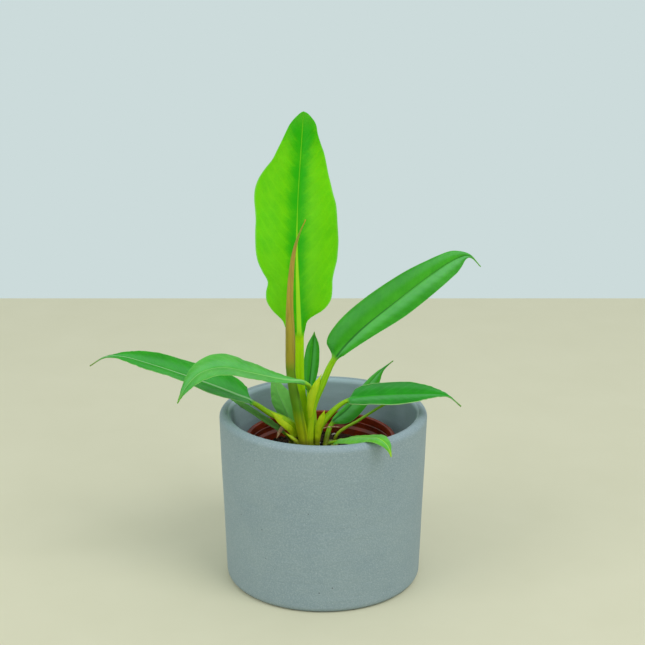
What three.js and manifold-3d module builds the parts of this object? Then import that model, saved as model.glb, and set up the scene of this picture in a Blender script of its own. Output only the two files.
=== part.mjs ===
// Potted philodendron: a young narrow-leaved philodendron growing in a plastic nursery pot,
// which stands loose inside a thick-walled ceramic cover pot.
// Millimetres, +Z up. The origin is on the table, at the centre of the cover pot's flat foot.
// -Y is the front: the face of the tallest leaf looks that way.

import * as THREE from "three";
import { LoftGeometry } from "three/addons/geometries/LoftGeometry.js";
import { mergeVertices } from "three/addons/utils/BufferGeometryUtils.js";
import Module from "manifold-3d";

const wasm = await Module();
wasm.setup();

// ---- Driving dimensions -------------------------------------------------------------------

const GAP = 0.3; // between two pieces that touch

// Ceramic cover pot: slightly tapered, with a full-round rim and a flat foot.
const COVER_RIM_RADIUS = 70;
const COVER_FOOT_RADIUS = 66.4;
const COVER_HEIGHT = 118;
const COVER_WALL = 7.6;
const COVER_FLOOR = 8;
const COVER_FOOT_FILLET = 4;
const COVER_INSIDE_FILLET = 9;

// Nursery pot: thin moulded plastic, with a stepped rim band and drain holes.
const NURSERY_CLEARANCE = 10.6; // between its rim and the cover pot's wall, if it stood central
const NURSERY_OFF_CENTRE = -2; // along X: it stands a little to the left
const NURSERY_RIM_DROP = 20; // its rim lies this far under the cover pot's rim
const NURSERY_FOOT_CLEARANCE = 11.6; // between its foot and the edge of the cover pot's flat floor
const NURSERY_WALL = 1.2;
const NURSERY_FLOOR = 1.6;
const NURSERY_LIP_HEIGHT = 2;
const NURSERY_LIP_WIDTH = 1.5;
const NURSERY_BAND_HEIGHT = 10.5;
const NURSERY_STEP = 1.8; // how far the wall steps in under the rim band
const NURSERY_FOOT_HEIGHT = 2.5;
const DRAIN_HOLE_RADIUS = 3.5;
const DRAIN_HOLE_INSET = 13; // from the foot's edge to the holes' centres
const DRAIN_HOLES = 8;

const SOIL_DROP = 14; // soil surface under the nursery pot's rim
const SOIL_MOUND = 1.5; // how much higher the soil is in the middle

// The crown, where the leaves spring from the main stem, is left of the nursery pot's centre.
const CROWN_X = -8;
const CROWN_Y = 4;
const STEM_BURIED = 16;

// Blades are lens-shaped across: thin at the margin, thick over the midrib.
const MARGIN_THICKNESS = 0.5;
const MIDRIB_THICKNESS = 1.3;
const THREAD_HALF_WIDTH = 0.45; // the narrowest that a leaf's tip gets

const BLADE_SPREAD = 0.05; // share of the blade over which the stalk flattens into it
const MARGIN_LEAD = 0.35; // how far the left margin's waves run ahead of the right one's

// The withered sheath is a thin curled strip.
const SHEATH_THICKNESS = 0.7;
const SHEATH_CURL = 0.8;

// How finely round and curved pieces are made.
const ROUND_FACETS = 48;
const HOLE_FACETS = 12;
const STEM_FACETS = 20;
const STALK_STEPS = 8;
const BLADE_STEPS = 15;
const SPEAR_FACETS = 8;
const SPEAR_STEPS = 20;
const SHEATH_STEPS = 6;

// ---- Sizes that follow ----------------------------------------------------------------------

const coverTaper = (COVER_RIM_RADIUS - COVER_FOOT_RADIUS) / COVER_HEIGHT;
const nurseryRimZ = COVER_HEIGHT - NURSERY_RIM_DROP;
const nurseryFootZ = COVER_FLOOR + GAP;
const nurseryHeight = nurseryRimZ - nurseryFootZ;
const coverBoreAtRim = COVER_RIM_RADIUS - coverTaper * NURSERY_RIM_DROP - COVER_WALL;
const nurseryRimRadius = coverBoreAtRim - NURSERY_CLEARANCE;
const coverFloorRadius = COVER_FOOT_RADIUS - COVER_WALL - COVER_INSIDE_FILLET;
const nurseryFootRadius = coverFloorRadius - NURSERY_FOOT_CLEARANCE;
const bandInner = nurseryRimRadius - NURSERY_LIP_WIDTH - NURSERY_WALL;
const bodyTopInner = bandInner - NURSERY_STEP;
const stepZ = nurseryHeight - NURSERY_BAND_HEIGHT;
const drainFloorZ = NURSERY_FOOT_HEIGHT + NURSERY_FLOOR;
const soilZ = nurseryRimZ - SOIL_DROP;

// ---- Placing --------------------------------------------------------------------------------

const V = (x, y, z) => new THREE.Vector3(x, y, z);

// A point seen from the crown: offsets along X and Y, and the height over the soil.
const near = (x, y, z) => V(NURSERY_OFF_CENTRE + CROWN_X + x, CROWN_Y + y, soilZ + z);

// A point seen from the cover pot's rim: its azimuth, how far outside the rim and how far over it.
function past(azimuth, out, up) {
  const angle = THREE.MathUtils.degToRad(azimuth);
  const radius = COVER_RIM_RADIUS + out;
  return V(radius * Math.cos(angle), radius * Math.sin(angle), COVER_HEIGHT + up);
}

// ---- Solids ---------------------------------------------------------------------------------

function toSolid(geometry) {
  const bare = new THREE.BufferGeometry().copy(geometry);
  bare.deleteAttribute("normal");
  bare.deleteAttribute("uv");
  const merged = mergeVertices(bare, 1e-3);
  return new wasm.Manifold(
    new wasm.Mesh({
      numProp: 3,
      vertProperties: new Float32Array(merged.attributes.position.array),
      triVerts: new Uint32Array(merged.index.array),
    }),
  );
}

function toGeometry(solid) {
  const { vertProperties, triVerts } = solid.getMesh();
  return new THREE.BufferGeometry()
    .setAttribute("position", new THREE.BufferAttribute(vertProperties, 3))
    .setIndex(new THREE.BufferAttribute(triVerts, 1));
}

// What is left of a solid after cuts, without the crumbs that a cut can leave.
function cutAway(solid, tools) {
  const rest = tools.reduce((left, tool) => left.subtract(tool), solid);
  return rest.decompose().sort((a, b) => b.volume() - a.volume())[0];
}

// Turns a profile of [radius, z] points about the Z axis.
function turned(profile) {
  const points = profile.map(([r, z]) => new THREE.Vector2(r, z));
  return new THREE.LatheGeometry(points, ROUND_FACETS).rotateX(Math.PI / 2);
}

// Points of an arc in a profile, from one angle to another in degrees.
function arc(r, z, radius, from, to, steps) {
  return Array.from({ length: steps + 1 }, (_, i) => {
    const a = THREE.MathUtils.degToRad(from + ((to - from) * i) / steps);
    return [r + radius * Math.cos(a), z + radius * Math.sin(a)];
  });
}

// ---- Pots and soil ----------------------------------------------------------------------------

function coverPot() {
  const lip = COVER_WALL / 2;
  const foot = COVER_FOOT_FILLET;
  const inside = COVER_INSIDE_FILLET;
  return turned([
    [0, 0],
    ...arc(COVER_FOOT_RADIUS - foot, foot, foot, -90, 0, 4),
    ...arc(COVER_RIM_RADIUS - lip, COVER_HEIGHT - lip, lip, 0, 180, 8),
    ...arc(coverFloorRadius, COVER_FLOOR + inside, inside, 0, -90, 4),
    [0, COVER_FLOOR],
  ]);
}

function nurseryPot() {
  const lipZ = nurseryHeight - NURSERY_LIP_HEIGHT;
  const footInner = nurseryFootRadius - NURSERY_WALL;
  const shell = toSolid(
    turned([
      [0, NURSERY_FOOT_HEIGHT],
      [footInner - NURSERY_WALL, NURSERY_FOOT_HEIGHT],
      [footInner - NURSERY_WALL, 0],
      [nurseryFootRadius, 0],
      [bodyTopInner + NURSERY_WALL, stepZ - NURSERY_WALL],
      [bandInner + NURSERY_WALL, stepZ],
      [bandInner + NURSERY_WALL, lipZ],
      [nurseryRimRadius, lipZ + NURSERY_LIP_HEIGHT / 4],
      [nurseryRimRadius, nurseryHeight],
      [bandInner, nurseryHeight],
      [bandInner, stepZ + NURSERY_WALL],
      [bodyTopInner, stepZ],
      [footInner, drainFloorZ],
      [0, drainFloorZ],
    ]),
  );
  // Drain holes through the floor, and a notch in the foot ring beyond each one.
  const cuts = [];
  for (let i = 0; i < DRAIN_HOLES; i++) {
    const angle = (i * 2 * Math.PI) / DRAIN_HOLES;
    const hole = new THREE.CylinderGeometry(DRAIN_HOLE_RADIUS, DRAIN_HOLE_RADIUS, drainFloorZ * 3, HOLE_FACETS)
      .rotateX(Math.PI / 2)
      .translate(nurseryFootRadius - DRAIN_HOLE_INSET, 0, 0);
    const notch = new THREE.BoxGeometry(DRAIN_HOLE_INSET, DRAIN_HOLE_RADIUS * 2, NURSERY_FOOT_HEIGHT)
      .translate(nurseryFootRadius, 0, 0);
    cuts.push(toSolid(hole.rotateZ(angle)), toSolid(notch.rotateZ(angle)));
  }
  return toGeometry(cutAway(shell, cuts)).translate(NURSERY_OFF_CENTRE, 0, nurseryFootZ);
}

// The root ball fills the nursery pot up to the soil's surface, with a socket for each stem.
function pottingSoil(stemSockets) {
  const soilTop = soilZ - nurseryFootZ;
  const slope = (bodyTopInner - (nurseryFootRadius - NURSERY_WALL)) / (stepZ - drainFloorZ);
  const radiusAt = (z) => bodyTopInner + slope * (z - stepZ) - GAP;
  const ball = turned([
    [0, drainFloorZ + GAP],
    [radiusAt(drainFloorZ), drainFloorZ + GAP],
    [radiusAt(soilTop), soilTop],
    [radiusAt(soilTop) * 0.6, soilTop + SOIL_MOUND * 0.8],
    [0, soilTop + SOIL_MOUND],
  ]).translate(NURSERY_OFF_CENTRE, 0, nurseryFootZ);
  return toGeometry(cutAway(toSolid(ball), stemSockets));
}

// ---- Leaves -----------------------------------------------------------------------------------

const ACROSS = [-1, -0.7, 0, 0.7, 1]; // places across a leaf, as shares of its half width

// Value at share s in a list of values spaced evenly from one end to the other.
function between(values, s) {
  const x = THREE.MathUtils.clamp(s, 0, 1) * (values.length - 1);
  const i = Math.min(Math.floor(x), values.length - 2);
  return THREE.MathUtils.lerp(values[i], values[i + 1], x - i);
}

// The share of a spine's length at which its stalk ends and its blade begins.
function jointShare(spine, stalkPoints) {
  const divisions = 20;
  spine.arcLengthDivisions = divisions * (spine.points.length - 1);
  const lengths = spine.getLengths();
  return lengths[divisions * stalkPoints] / lengths.at(-1);
}

// The closed outline of a leaf at share u of its spine. grow widens it all round.
function leafSection(leaf, spine, joint, u, grow) {
  const inStalk = THREE.MathUtils.clamp(u / joint, 0, 1);
  const inBlade = Math.max(0, (u - joint) / (1 - joint));
  const spread = THREE.MathUtils.smoothstep(inBlade, 0, BLADE_SPREAD);
  const at = spine.getPointAt(u);
  const along = spine.getTangentAt(u);
  const face = V(...leaf.facing[0]).lerp(V(...leaf.facing[1]), inBlade);
  face.addScaledVector(along, -face.dot(along)).normalize();
  const side = V(0, 0, 0).crossVectors(along, face);

  const round = between(leaf.round, inStalk);
  const thickness = (q) => {
    const stalk = 2 * round * Math.sqrt(1 - q * q);
    const blade = (MIDRIB_THICKNESS - MARGIN_THICKNESS) * (1 - Math.abs(q));
    return MARGIN_THICKNESS + THREE.MathUtils.lerp(stalk, blade, spread) + 2 * grow;
  };
  const halfWidth = (q) => {
    const blade = between(q < 0 ? leaf.left : leaf.right, inBlade);
    return Math.max(THREE.MathUtils.lerp(between(leaf.wide, inStalk), blade, spread), THREAD_HALF_WIDTH);
  };
  const fold = THREE.MathUtils.degToRad(between(leaf.fold, inBlade)) * spread;
  const place = (q, lift) => {
    const half = halfWidth(q);
    const phase = leaf.waves * inBlade + (q < 0 ? MARGIN_LEAD : 0);
    const ripple = leaf.ripple * Math.sin(2 * Math.PI * phase) * Math.sin(Math.PI * inBlade) * q * q;
    const rise = half * (Math.abs(q) * Math.sin(fold) - leaf.arch * q * q) * spread;
    return at
      .clone()
      .addScaledVector(side, q * (half * Math.cos(fold) + grow))
      .addScaledVector(face, rise + ripple + lift);
  };
  const top = ACROSS.map((q) => place(q, thickness(q) / 2));
  const under = ACROSS.map((q) => place(q, -thickness(q) / 2));
  return [...top, ...under.reverse()];
}

// A whole leaf, from the foot of its stalk to its tip.
function leafSolid(leaf) {
  const spine = new THREE.CatmullRomCurve3([...leaf.stalk, ...leaf.blade]);
  const joint = jointShare(spine, leaf.stalk.length);
  const sections = [];
  for (let i = 0; i < STALK_STEPS; i++) {
    sections.push(leafSection(leaf, spine, joint, (joint * i) / STALK_STEPS, 0));
  }
  for (let i = 0; i <= BLADE_STEPS; i++) {
    sections.push(leafSection(leaf, spine, joint, joint + ((1 - joint) * i) / BLADE_STEPS, 0));
  }
  return toSolid(new LoftGeometry(sections, { capStart: true, capEnd: true }));
}

// The room that a leaf's stalk takes in its neighbours: a socket in the stem, a clasp in a stalk.
function stalkRoom(leaf) {
  const spine = new THREE.CatmullRomCurve3([...leaf.stalk, ...leaf.blade]);
  const joint = jointShare(spine, leaf.stalk.length);
  const sections = [];
  for (let i = 0; i <= STALK_STEPS; i++) {
    sections.push(leafSection(leaf, spine, joint, (joint * i) / STALK_STEPS, GAP));
  }
  const down = spine.getTangentAt(0).multiplyScalar(-GAP);
  sections[0].forEach((point) => point.add(down));
  return toSolid(new LoftGeometry(sections, { capStart: true, capEnd: true }));
}

// Each leaf: the points of its stalk from the foot, then those of its blade, up to the tip.
// wide and round are the stalk's half width and half thickness, left and right the blade's
// half widths, and fold the angle of its halves, each spaced evenly along. facing is the way
// the upper side looks, at the stalk and at the tip.
const CROWN_LEAVES = {
  leaf_tall: {
    stalk: [near(0, 1, 3), near(-0.5, 2, 12), near(-3, 3, 31), near(-5, 5, 52), near(-6, 8, 72)],
    blade: [near(-6, 10, 83), near(-6, 13, 106), near(-6, 17, 139), near(-5, 21, 172), near(-4, 23, 205),
      near(-3, 22, 231)],
    wide: [2.5, 2.7, 2.9, 2.7, 2.5],
    round: [2.3, 2.4, 2.4, 2.2, 2.0],
    facing: [[0, -1, 0.1], [0, -1, 0.4]],
    left: [8, 11, 20, 20, 25, 27, 27.5, 29, 25, 17, 10, 0],
    right: [5, 13, 21, 23, 27, 27, 26, 24, 20, 15, 9.5, 0],
    fold: [22, 12, 8, 6],
    arch: 0.06,
    ripple: 1.6,
    waves: 2.2,
  },
  leaf_upper_right: {
    stalk: [near(3, -4, 3), near(3, -4, 13), near(4, -4, 33), near(9, -5, 52)],
    blade: [near(17, -7, 71), near(33, -11, 89), near(57, -16, 110), near(80, -20, 130), near(96, -24, 141),
      near(103, -28, 146), near(109, -32, 142)],
    wide: [2.6, 3.2, 3.4, 2.0],
    round: [2.2, 2.2, 2.0, 1.8],
    facing: [[0.1, -1, 0.3], [-0.1, -1, 0.5]],
    left: [7, 14.5, 16, 16, 15, 13.5, 10.5, 5, 0.5],
    right: [2, 3, 6, 9, 11.5, 11.5, 9, 4, 0.5],
    fold: [18, 14, 8],
    arch: 0.05,
    ripple: 1,
    waves: 1.6,
  },
  leaf_level_right: {
    stalk: [near(6.2, 1, 3), near(6.5, 0.5, 11), near(9, -1, 21), near(17, -2, 32)],
    blade: [near(26, -4, 40), near(38, -8, 44), near(55, -12, 47), near(71, -16, 49), near(84, -19, 50),
      near(93, -22, 49.5), near(99, -24, 46)],
    wide: [2.2, 2.8, 2.4, 1.5],
    round: [2.0, 2.0, 1.8, 1.4],
    facing: [[-0.1, -0.3, 1], [0, -0.2, 1]],
    left: [3, 10, 13, 14, 12, 8, 4, 0.5],
    right: [3, 10, 13, 14, 12, 8, 4, 0.5],
    fold: [16, 12, 8],
    arch: 0.1,
    ripple: 1,
    waves: 1.5,
  },
  leaf_arching_left: {
    stalk: [near(4, 6, 3), near(4, 7, 14), near(3, 5, 37), near(2, 0, 48)],
    blade: [near(0, -11, 56), near(-18, -24, 62), near(-37, -36, 69.5), near(-55, -46, 76), near(-68, -54, 75),
      near(-76, -58, 69), near(-82, -60, 60)],
    wide: [2.2, 2.2, 2.2, 1.7],
    round: [2.0, 2.0, 1.8, 1.5],
    facing: [[0.3, -0.4, 1], [-0.6, -0.4, 1]],
    left: [2, 3, 7, 11, 13, 12, 9, 5, 0.5],
    right: [3, 8, 13, 15, 15, 13, 9, 5, 0.5],
    fold: [18, 14, 10],
    arch: 0.1,
    ripple: 1.2,
    waves: 1.8,
  },
  leaf_long_left: {
    stalk: [near(-6, 3, 3), near(-6.5, 2.5, 14), near(-12, 0, 22.5), near(-26, -4, 31)],
    blade: [near(-38, -8, 41), near(-55, -12, 50), near(-78, -14, 60), near(-104, -16, 70), near(-123, -18, 76),
      near(-134, -20, 76), near(-141, -22, 72)],
    wide: [2.4, 3.4, 3.2, 1.8],
    round: [2.1, 2.1, 2.0, 1.6],
    facing: [[0, -0.2, 1], [-0.2, -0.2, 1]],
    left: [3, 10, 15, 17, 16, 13, 8, 4, 0.5],
    right: [3, 10, 15, 17, 16, 13, 8, 4, 0.5],
    fold: [22, 18, 10],
    arch: 0.1,
    ripple: 1.2,
    waves: 1.8,
  },
  leaf_small_back: {
    stalk: [near(-1.5, 6.5, 3), near(-0.5, 8, 13), near(0, 13, 27)],
    blade: [near(0, 16, 39), near(2, 19, 58), near(4, 20, 81)],
    wide: [1.5, 1.5, 1.3],
    round: [1.4, 1.4, 1.2],
    facing: [[0, -1, 0.3], [0, -1, 0.4]],
    left: [2, 4.5, 5, 4, 2.5, 0.5],
    right: [2, 4.5, 5, 4, 2.5, 0.5],
    fold: [25, 15],
    arch: 0,
    ripple: 0.4,
    waves: 1,
  },
};

const RIGHT_LEAVES = {
  leaf_right_back: {
    stalk: [near(14, 8, 4), near(12.5, 11, 10)],
    blade: [near(14, 14, 16), near(27, 18, 26), near(41, 22, 39), near(51, 24, 49), near(57, 24, 57)],
    wide: [1.8, 1.8, 1.5],
    round: [1.6, 1.6, 1.3],
    facing: [[-0.4, -1, 0.8], [-0.5, -1, 0.8]],
    left: [2, 3.5, 4, 4, 3.5, 2, 0.5],
    right: [3, 8, 9, 8, 6, 3, 0.5],
    fold: [10, -20],
    arch: 0.2,
    ripple: 0.6,
    waves: 1.2,
  },
  leaf_thin_right: {
    stalk: [near(17, 4.5, 4), near(20, 2, 14), near(35, 0, 25)],
    blade: [near(52, -2, 37), near(62, -2, 41), near(72, -3, 43), near(80, -4, 43)],
    wide: [1.2, 1.0, 0.9],
    round: [1.1, 1.0, 0.9],
    facing: [[-0.3, 0, 1], [0, -0.1, 1]],
    left: [2, 5, 7, 6, 3.5, 0.5],
    right: [2, 5, 7, 6, 3.5, 0.5],
    fold: [12, 8],
    arch: 0,
    ripple: 0.3,
    waves: 1,
  },
  leaf_over_rim: {
    stalk: [near(14.5, 0.5, 4), near(13, -7, 12)],
    blade: [near(20, -18, 18), past(-57.7, -34.5, -9), past(-59.9, -12, 0), past(-59.9, 1.7, 3.5), past(-59, 9, 0.5),
      past(-58.4, 12, -6)],
    wide: [1.5, 1.4, 1.3],
    round: [1.3, 1.2, 1.1],
    facing: [[0, -0.2, 1], [0.3, -0.6, 0.7]],
    left: [2.5, 8, 10, 11, 10, 7, 4, 0.5],
    right: [2.5, 8, 10, 11, 10, 7, 4, 0.5],
    fold: [14, 10],
    arch: 0.1,
    ripple: 0.8,
    waves: 1.4,
  },
};

const LEFT_LEAVES = {
  leaf_left_back: {
    stalk: [near(-9, 11, 4), near(-8.5, 12.5, 9)],
    blade: [near(-9.5, 13, 14), near(-16.5, 16, 29), near(-22, 18, 43), near(-24, 18, 57)],
    wide: [1.5, 1.4, 1.3],
    round: [1.3, 1.2, 1.1],
    facing: [[0.3, 1, 0.1], [0.3, 1, 0.2]],
    left: [2.5, 7, 9, 9, 6, 3, 0.5],
    right: [2.5, 7, 9, 9, 6, 3, 0.5],
    fold: [12, 8],
    arch: 0,
    ripple: 0.5,
    waves: 1,
  },
  leaf_low_left: {
    stalk: [near(-11, 9, 4), near(-12.5, 7, 8)],
    blade: [near(-17, 4, 14), near(-32, 2, 25), near(-46, 0, 36), near(-58, -2, 46)],
    wide: [1.3, 1.2, 1.1],
    round: [1.2, 1.1, 1.0],
    facing: [[-0.5, 0.5, 1], [-0.5, 0.5, 1]],
    left: [2, 6, 8, 8, 6, 3, 0.5],
    right: [2, 6, 8, 8, 6, 3, 0.5],
    fold: [10, 6],
    arch: 0,
    ripple: 0.5,
    waves: 1,
  },
};

// The new leaf is still rolled up into a spear, in a dry brown sheath.
const SPEAR = {
  points: [near(-4.2, -3.2, 3), near(-6, -3.5, 13), near(-8, -4, 33), near(-12, -4, 58), near(-12, -3, 82),
    near(-12, -2, 110), near(-10, -1, 137), near(-7, -2, 151), near(-3, -4, 163)],
  radii: [2.2, 2.5, 2.7, 2.7, 2.7, 2.3, 1.8, 1.1, 0.3],
};

// The withered sheath of a fallen leaf still clings to the crown's left side.
const DRIED_SHEATH = {
  points: [near(-9, 0, 8), near(-12, -2, 14), near(-17, -3, 19), near(-20, -3, 18)],
  halfWidths: [2.5, 3, 2.2, 0.6],
};

// A round tube through the points, with radii spaced evenly along. grow widens it and lengthens it.
function tube({ points, radii }, grow) {
  const spine = new THREE.CatmullRomCurve3(points);
  const sections = [];
  for (let i = 0; i <= SPEAR_STEPS; i++) {
    const u = i / SPEAR_STEPS;
    const along = spine.getTangentAt(u);
    const side = V(1, 0, 0).addScaledVector(along, -along.x).normalize();
    const face = V(0, 0, 0).crossVectors(side, along);
    const at = spine.getPointAt(u).addScaledVector(along, i === 0 ? -grow : 0);
    const radius = between(radii, u) + grow;
    sections.push(
      Array.from({ length: SPEAR_FACETS }, (_, k) => {
        const a = (k * 2 * Math.PI) / SPEAR_FACETS;
        return at.clone().addScaledVector(face, radius * Math.cos(a)).addScaledVector(side, radius * Math.sin(a));
      }),
    );
  }
  return toSolid(new LoftGeometry(sections, { capStart: true, capEnd: true }));
}

function driedSheath(room) {
  const spine = new THREE.CatmullRomCurve3(DRIED_SHEATH.points);
  const sections = [];
  for (let i = 0; i <= SHEATH_STEPS; i++) {
    const u = i / SHEATH_STEPS;
    const along = spine.getTangentAt(u);
    const face = V(0, -1, 0).addScaledVector(along, along.y).normalize();
    const side = V(0, 0, 0).crossVectors(along, face);
    const half = between(DRIED_SHEATH.halfWidths, u);
    const point = (q, lift) => {
      const bend = lift - SHEATH_CURL * q * q;
      return spine.getPointAt(u).addScaledVector(side, q * half).addScaledVector(face, bend);
    };
    const top = [-1, 0, 1].map((q) => point(q, SHEATH_THICKNESS / 2));
    const under = [1, 0, -1].map((q) => point(q, -SHEATH_THICKNESS / 2));
    sections.push([...top, ...under]);
  }
  return cutAway(toSolid(new LoftGeometry(sections, { capStart: true, capEnd: true })), room);
}

// ---- Stems --------------------------------------------------------------------------------------

// A stem stands in the soil; its leaves stand in it. It is [x, y] from the crown, and its top
// over the soil.
const MAIN_STEM = { x: 0, y: 1, top: 9, topRadius: 9.4, footRadius: 8 };
const RIGHT_STEM = { x: 15.3, y: 4.5, top: 8, topRadius: 5.2, footRadius: 4.5 };
const LEFT_STEM = { x: -10, y: 10.6, top: 7, topRadius: 3.9, footRadius: 3.4 };

function stemSolid({ x, y, top, topRadius, footRadius }, grow) {
  const height = top + STEM_BURIED;
  return toSolid(
    new THREE.CylinderGeometry(topRadius + grow, footRadius + grow, height + 2 * grow, STEM_FACETS)
      .rotateX(Math.PI / 2)
      .translate(0, 0, height / 2 - STEM_BURIED),
  ).translate(near(x, y, 0).toArray());
}

// ---- The object -----------------------------------------------------------------------------------

const LOOKS = {
  ceramic: { color: 0x7f8f90, roughness: 0.45 },
  plastic: { color: 0x9a5238, roughness: 0.5 },
  soil: { color: 0x2b2320, roughness: 0.95 },
  leaf: { color: 0x3d6b2c, roughness: 0.4 },
  stem: { color: 0x7f9440, roughness: 0.5 },
  dry: { color: 0x9a7550, roughness: 0.7 },
};

const plant = new THREE.Group();

function add(name, look, geometry) {
  const mesh = new THREE.Mesh(geometry, new THREE.MeshStandardMaterial({ ...LOOKS[look], metalness: 0 }));
  mesh.name = name;
  plant.add(mesh);
}

// Adds the leaves of one stem. Each later stalk clasps the stalks that grew before it.
function addLeaves(leaves, rooms) {
  for (const [name, leaf] of Object.entries(leaves)) {
    add(name, "leaf", toGeometry(cutAway(leafSolid(leaf), rooms)));
    rooms.push(stalkRoom(leaf));
  }
  return rooms;
}

const crownRooms = addLeaves(CROWN_LEAVES, [tube(SPEAR, GAP)]);
const rightRooms = addLeaves(RIGHT_LEAVES, []);
const leftRooms = addLeaves(LEFT_LEAVES, []);
add("rolled_new_leaf", "dry", toGeometry(tube(SPEAR, 0)));
add("dried_sheath", "dry", toGeometry(driedSheath([...crownRooms, stemSolid(MAIN_STEM, GAP)])));

add("main_stem", "stem", toGeometry(cutAway(stemSolid(MAIN_STEM, 0), crownRooms)));
add("right_stem", "stem", toGeometry(cutAway(stemSolid(RIGHT_STEM, 0), rightRooms)));
add("left_stem", "stem", toGeometry(cutAway(stemSolid(LEFT_STEM, 0), leftRooms)));

const stemSockets = [MAIN_STEM, RIGHT_STEM, LEFT_STEM].map((stem) => stemSolid(stem, GAP));
add("potting_soil", "soil", pottingSoil(stemSockets));
add("nursery_pot", "plastic", nurseryPot());
add("ceramic_cover_pot", "ceramic", coverPot());

export default plant;
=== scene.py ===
"""Potted philodendron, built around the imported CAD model. Metres, in the CAD model's frame.

Leaves, stems, soil and both pots are fine meshes that stand for the plain CAD solids. The plant's
places are given in millimetres from the crown, where the leaves spring from the main stem.
"""
import math
import random

import bmesh
import bpy
from mathutils import Euler, Matrix, Vector, noise


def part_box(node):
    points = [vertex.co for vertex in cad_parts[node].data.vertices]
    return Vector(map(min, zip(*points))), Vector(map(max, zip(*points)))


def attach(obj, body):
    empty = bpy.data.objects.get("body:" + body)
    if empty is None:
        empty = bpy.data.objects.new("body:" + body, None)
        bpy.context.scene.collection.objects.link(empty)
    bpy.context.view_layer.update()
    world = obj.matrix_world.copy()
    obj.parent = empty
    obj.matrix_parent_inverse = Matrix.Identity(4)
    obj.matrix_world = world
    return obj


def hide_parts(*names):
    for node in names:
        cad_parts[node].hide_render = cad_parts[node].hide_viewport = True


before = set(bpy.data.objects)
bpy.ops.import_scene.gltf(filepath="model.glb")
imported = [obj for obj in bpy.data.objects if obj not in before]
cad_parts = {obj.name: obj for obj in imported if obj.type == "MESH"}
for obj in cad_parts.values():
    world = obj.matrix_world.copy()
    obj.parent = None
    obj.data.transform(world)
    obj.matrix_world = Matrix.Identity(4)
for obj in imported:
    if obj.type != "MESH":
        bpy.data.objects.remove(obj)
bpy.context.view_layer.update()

MM = 0.001

# ---- Sizes, from the frame and in metres 

POT_HIGH = Vector(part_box("ceramic_cover_pot")[1])
NURSERY_LOW, NURSERY_HIGH = (Vector(corner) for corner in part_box("nursery_pot"))
SOIL_LOW, SOIL_HIGH = (Vector(corner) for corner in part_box("potting_soil"))

RIM_RADIUS = POT_HIGH.x
POT_HEIGHT = POT_HIGH.z
FOOT_RADIUS = RIM_RADIUS - 3.6 * MM
WALL = 7.6 * MM
FLOOR = 8 * MM
NURSERY_RIM_RADIUS = (NURSERY_HIGH.x - NURSERY_LOW.x) / 2
NURSERY_FOOT_RADIUS = NURSERY_RIM_RADIUS - 13 * MM
NURSERY_WALL = 1.2 * MM
NURSERY_X = (NURSERY_HIGH.x + NURSERY_LOW.x) / 2
SOIL_RADIUS = (SOIL_HIGH.x - SOIL_LOW.x) / 2
SOIL_MOUND = 1.5 * MM
SOIL_Z = SOIL_HIGH.z - SOIL_MOUND
CROWN = Vector((NURSERY_X - 8 * MM, 4 * MM, SOIL_Z))
AXIS_RADIUS = 0.5 * MM  # turned shapes close with a tiny cap round their axis


def round_point(angle, radius, z, centre_x=0.0):
    """A point at an angle and radius about an upright axis."""
    return Vector((centre_x + radius * math.cos(angle), radius * math.sin(angle), z))


def near(x, y, z):
    """A point seen from the crown: offsets along X and Y and the height over the soil, in mm."""
    return CROWN + Vector((x, y, z)) * MM


def past(azimuth, out, up):
    """A point seen from the cover pot's rim: azimuth, then mm outside it and over it."""
    return round_point(math.radians(azimuth), RIM_RADIUS + out * MM, POT_HEIGHT + up * MM)


# ---- Small maths ---------------------

def clamp(value):
    return max(0.0, min(1.0, value))


def blend(a, b, share):
    return a + (b - a) * share


def circle(count):
    """Evenly spaced angles round a circle."""
    return [2 * math.pi * k / count for k in range(count)]


def ease(value, low, high):
    """0 below low, 1 above high, smooth between."""
    t = clamp((value - low) / (high - low))
    return t * t * (3 - 2 * t)


def along_list(values, share):
    """A smooth value at a share of the way through evenly spaced values."""
    x = clamp(share) * (len(values) - 1)
    i = min(int(x), len(values) - 2)
    before, after = values[max(i - 1, 0)], values[min(i + 2, len(values) - 1)]
    a, b, t = values[i], values[i + 1], x - i
    start, end = (b - before) / 2, (after - a) / 2
    curve = (2 * t**3 - 3 * t**2 + 1) * a + (t**3 - 2 * t**2 + t) * start
    return curve + (3 * t**2 - 2 * t**3) * b + (t**3 - t**2) * end


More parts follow.
